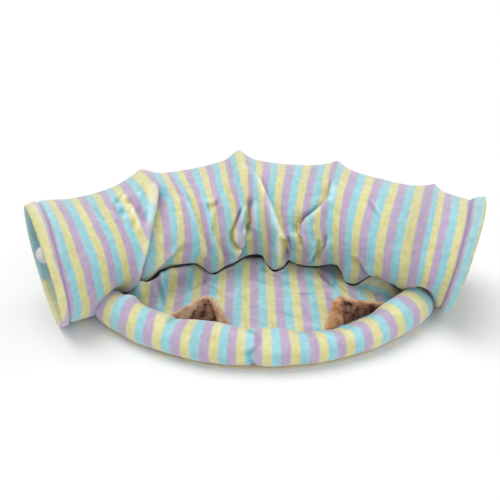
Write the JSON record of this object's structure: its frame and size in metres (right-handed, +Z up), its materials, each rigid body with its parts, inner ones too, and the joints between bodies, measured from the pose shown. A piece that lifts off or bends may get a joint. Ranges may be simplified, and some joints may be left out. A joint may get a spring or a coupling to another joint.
{
  "type": "cat tunnel bed",
  "caption": "Striped plush cat tunnel bent in a half circle round a thin padded mat, with a stuffed roll along the front and two cat ears behind it.",
  "frame": {"origin": "on the floor under the middle of the bed, on the underside of the base cloth", "axes": "+X along the bed's width from the left mouth to the right mouth, -Y towards the stuffed roll in front, +Z up"},
  "size_m": [0.9447, 0.5635, 0.2559],
  "materials": {
    "tunnel_plush": "short plush with aqua, yellow and lavender stripes",
    "mat_plush": "short plush with aqua, yellow and lavender stripes, lightly padded",
    "roll_plush": "short plush with yellow, aqua and lavender stripes, firmly stuffed",
    "base_cloth": "thin plain woven cloth",
    "ear_plush": "tan short-pile plush",
    "ear_panel": "dark brown short-pile plush",
    "ball_plush": "fluffy white pile"
  },
  "bodies": {
    "root": {"tunnel": "tunnel_plush", "mat": "mat_plush", "roll": "roll_plush", "base_cloth": "base_cloth", "ear_left": "ear_plush", "ear_left_inner": "ear_panel", "ear_right": "ear_plush", "ear_right_inner": "ear_panel", "toy_ball": "ball_plush"}
  },
  "joints": []
}
